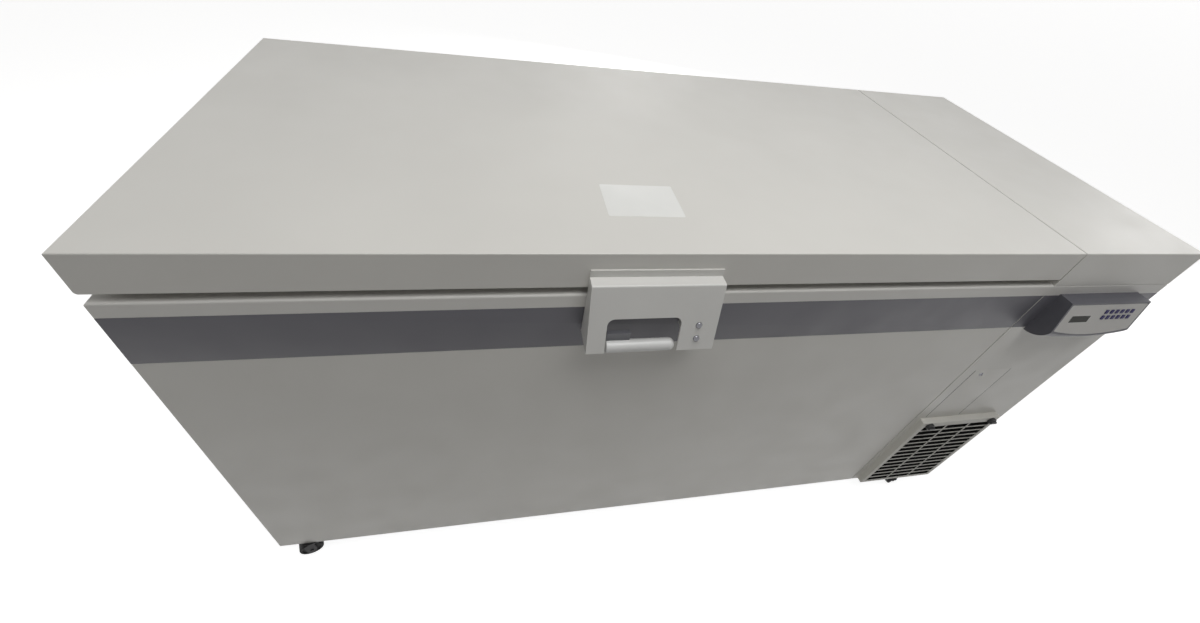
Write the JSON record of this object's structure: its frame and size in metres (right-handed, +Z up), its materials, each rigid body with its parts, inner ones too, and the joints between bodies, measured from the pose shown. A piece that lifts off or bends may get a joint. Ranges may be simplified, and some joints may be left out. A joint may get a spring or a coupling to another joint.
{
  "type": "ultra low temperature chest freezer",
  "caption": "Chest-type ultra low temperature freezer with an insulated lid on rear hinges, a lever latch, a machine compartment with control panel and intake grille, on swivel casters.",
  "frame": {"origin": "on the floor, under the middle of the overall box", "axes": "+X along the freezer's width towards the machine compartment, +Y from the front to the back, +Z up"},
  "size_m": [2.04, 0.919, 1.03],
  "materials": {
    "body_paint": "satin light grey powder coat",
    "latch_paint": "satin light grey paint",
    "rim_plastic": "satin light grey moulding",
    "base_steel": "galvanised",
    "liner_steel": "brushed",
    "foam": "cut foam",
    "copper_tube": "drawn tube",
    "lid_liner": "moulded",
    "gasket_rubber": "matte",
    "hinge_steel": "zinc plated",
    "bar_metal": "satin",
    "screw_chrome": "polished",
    "charcoal_plastic": "fine grain",
    "fascia_film": "smooth film",
    "display_glass": "clear",
    "key_rubber": "matte",
    "grille_plastic": "fine grain",
    "filter_mesh": "mesh",
    "black_plastic": "fine grain",
    "fin_aluminium": "mill",
    "motor_paint": "semi gloss",
    "wheel_rubber": "matte",
    "fork_steel": "semi gloss"
  },
  "bodies": {
    "cabinet": {"base_pan": "base_steel", "front_panel": "body_paint", "left_panel": "body_paint", "rear_panel": "body_paint", "bulkhead_panel": "base_steel", "insulation": "foam", "liner": "liner_steel", "evaporator_coil": "copper_tube", "rim_frame": "rim_plastic", "hinge_bases": "hinge_steel", "hinge_pins": "hinge_steel", "machine_top_cover": "body_paint", "latch_keeper": "hinge_steel", "machine_front_panel": "body_paint", "machine_side_panel": "body_paint", "machine_rear_panel": "body_paint", "power_entry": "black_plastic", "control_housing": "charcoal_plastic", "control_fascia": "fascia_film", "display_window": "display_glass", "intake_grille": "grille_plastic", "air_filter": "filter_mesh", "condenser": "fin_aluminium", "fan_motor": "motor_paint", "compressors": "motor_paint", "heat_exchanger": "foam"},
    "lid": {"lid_pan": "body_paint", "lid_insulation": "foam", "lid_inner_panel": "lid_liner", "lid_gasket": "gasket_rubber", "hinge_leaves": "hinge_steel", "latch_base": "latch_paint", "latch_cover": "latch_paint", "latch_screws": "screw_chrome"},
    "latch": {"latch_lever": "bar_metal", "latch_pawl": "hinge_steel"},
    "key_1_1_body": {"key_1_1": "key_rubber"},
    "key_1_2_body": {"key_1_2": "key_rubber"},
    "key_1_3_body": {"key_1_3": "key_rubber"},
    "key_1_4_body": {"key_1_4": "key_rubber"},
    "key_1_5_body": {"key_1_5": "key_rubber"},
    "key_1_6_body": {"key_1_6": "key_rubber"},
    "key_2_1_body": {"key_2_1": "key_rubber"},
    "key_2_2_body": {"key_2_2": "key_rubber"},
    "key_2_3_body": {"key_2_3": "key_rubber"},
    "key_2_4_body": {"key_2_4": "key_rubber"},
    "key_2_5_body": {"key_2_5": "key_rubber"},
    "key_2_6_body": {"key_2_6": "key_rubber"},
    "grille_knob_left_body": {"grille_knob_left": "black_plastic"},
    "grille_knob_right_body": {"grille_knob_right": "black_plastic"},
    "fan_body": {"fan": "fin_aluminium"},
    "power_switch_body": {"power_switch": "black_plastic"},
    "front_left_fork_body": {"front_left_fork": "fork_steel"},
    "front_left_wheel_body": {"front_left_wheel": "wheel_rubber"},
    "front_right_fork_body": {"front_right_fork": "fork_steel"},
    "front_right_wheel_body": {"front_right_wheel": "wheel_rubber"},
    "rear_left_fork_body": {"rear_left_fork": "fork_steel"},
    "rear_left_wheel_body": {"rear_left_wheel": "wheel_rubber"},
    "rear_right_fork_body": {"rear_right_fork": "fork_steel"},
    "rear_right_wheel_body": {"rear_right_wheel": "wheel_rubber"}
  },
  "joints": [
    {"name": "lid_hinge", "type": "hinge", "parent": "cabinet", "child": "lid", "pos_m": [0, 0.4505, 0.95125], "axis": [-1, 0, 0], "range_deg": [0, 88]},
    {"name": "latch_lever_pivot", "type": "hinge", "parent": "lid", "child": "latch", "pos_m": [-0.306, -0.4415, 0.8725], "axis": [0, -1, 0], "range_deg": [0, 10], "stiffness_Nm_per_rad": 1.5, "springref_deg": -17.19},
    {"name": "key_1_1_press", "type": "slide", "parent": "cabinet", "child": "key_1_1_body", "axis": [0, 0.9839, -0.1789], "range_m": [0, 0.001], "stiffness_N_per_m": 600, "springref_m": -0.001},
    {"name": "key_1_2_press", "type": "slide", "parent": "cabinet", "child": "key_1_2_body", "axis": [0, 0.9839, -0.1789], "range_m": [0, 0.001], "stiffness_N_per_m": 600, "springref_m": -0.001},
    {"name": "key_1_3_press", "type": "slide", "parent": "cabinet", "child": "key_1_3_body", "axis": [0, 0.9839, -0.1789], "range_m": [0, 0.001], "stiffness_N_per_m": 600, "springref_m": -0.001},
    {"name": "key_1_4_press", "type": "slide", "parent": "cabinet", "child": "key_1_4_body", "axis": [0, 0.9839, -0.1789], "range_m": [0, 0.001], "stiffness_N_per_m": 600, "springref_m": -0.001},
    {"name": "key_1_5_press", "type": "slide", "parent": "cabinet", "child": "key_1_5_body", "axis": [0, 0.9839, -0.1789], "range_m": [0, 0.001], "stiffness_N_per_m": 600, "springref_m": -0.001},
    {"name": "key_1_6_press", "type": "slide", "parent": "cabinet", "child": "key_1_6_body", "axis": [0, 0.9839, -0.1789], "range_m": [0, 0.001], "stiffness_N_per_m": 600, "springref_m": -0.001},
    {"name": "key_2_1_press", "type": "slide", "parent": "cabinet", "child": "key_2_1_body", "axis": [0, 0.9839, -0.1789], "range_m": [0, 0.001], "stiffness_N_per_m": 600, "springref_m": -0.001},
    {"name": "key_2_2_press", "type": "slide", "parent": "cabinet", "child": "key_2_2_body", "axis": [0, 0.9839, -0.1789], "range_m": [0, 0.001], "stiffness_N_per_m": 600, "springref_m": -0.001},
    {"name": "key_2_3_press", "type": "slide", "parent": "cabinet", "child": "key_2_3_body", "axis": [0, 0.9839, -0.1789], "range_m": [0, 0.001], "stiffness_N_per_m": 600, "springref_m": -0.001},
    {"name": "key_2_4_press", "type": "slide", "parent": "cabinet", "child": "key_2_4_body", "axis": [0, 0.9839, -0.1789], "range_m": [0, 0.001], "stiffness_N_per_m": 600, "springref_m": -0.001},
    {"name": "key_2_5_press", "type": "slide", "parent": "cabinet", "child": "key_2_5_body", "axis": [0, 0.9839, -0.1789], "range_m": [0, 0.001], "stiffness_N_per_m": 600, "springref_m": -0.001},
    {"name": "key_2_6_press", "type": "slide", "parent": "cabinet", "child": "key_2_6_body", "axis": [0, 0.9839, -0.1789], "range_m": [0, 0.001], "stiffness_N_per_m": 600, "springref_m": -0.001},
    {"name": "grille_knob_left_turn", "type": "hinge", "parent": "cabinet", "child": "grille_knob_left_body", "pos_m": [0.728, -0.4195, 0.415], "axis": [0, -1, 0], "range_deg": [0, 90]},
    {"name": "grille_knob_right_turn", "type": "hinge", "parent": "cabinet", "child": "grille_knob_right_body", "pos_m": [0.9475, -0.4195, 0.415], "axis": [0, -1, 0], "range_deg": [0, 90]},
    {"name": "fan_spin", "type": "hinge", "parent": "cabinet", "child": "fan_body", "pos_m": [0.83775, -0.2755, 0.227], "axis": [0, -1, 0], "continuous": true},
    {"name": "power_switch_rock", "type": "hinge", "parent": "cabinet", "child": "power_switch_body", "pos_m": [0.92, 0.4345, 0.213], "axis": [-1, 0, 0], "range_deg": [0, 18]},
    {"name": "front_left_swivel", "type": "hinge", "parent": "cabinet", "child": "front_left_fork_body", "pos_m": [-0.914, -0.3775, 0.063], "axis": [0, 0, 1], "continuous": true},
    {"name": "front_left_roll", "type": "hinge", "parent": "front_left_fork_body", "child": "front_left_wheel_body", "pos_m": [-0.95775, -0.39171, 0.028], "axis": [-0.309, 0.9511, 0], "continuous": true},
    {"name": "front_right_swivel", "type": "hinge", "parent": "cabinet", "child": "front_right_fork_body", "pos_m": [0.914, -0.3775, 0.063], "axis": [0, 0, 1], "continuous": true},
    {"name": "front_right_roll", "type": "hinge", "parent": "front_right_fork_body", "child": "front_right_wheel_body", "pos_m": [0.87025, -0.39171, 0.028], "axis": [-0.309, 0.9511, 0], "continuous": true},
    {"name": "rear_left_swivel", "type": "hinge", "parent": "cabinet", "child": "rear_left_fork_body", "pos_m": [-0.914, 0.4105, 0.063], "axis": [0, 0, 1], "continuous": true},
    {"name": "rear_left_roll", "type": "hinge", "parent": "rear_left_fork_body", "child": "rear_left_wheel_body", "pos_m": [-0.95775, 0.39628, 0.028], "axis": [-0.309, 0.9511, 0], "continuous": true},
    {"name": "rear_right_swivel", "type": "hinge", "parent": "cabinet", "child": "rear_right_fork_body", "pos_m": [0.914, 0.4105, 0.063], "axis": [0, 0, 1], "continuous": true},
    {"name": "rear_right_roll", "type": "hinge", "parent": "rear_right_fork_body", "child": "rear_right_wheel_body", "pos_m": [0.87025, 0.39628, 0.028], "axis": [-0.309, 0.9511, 0], "continuous": true}
  ]
}
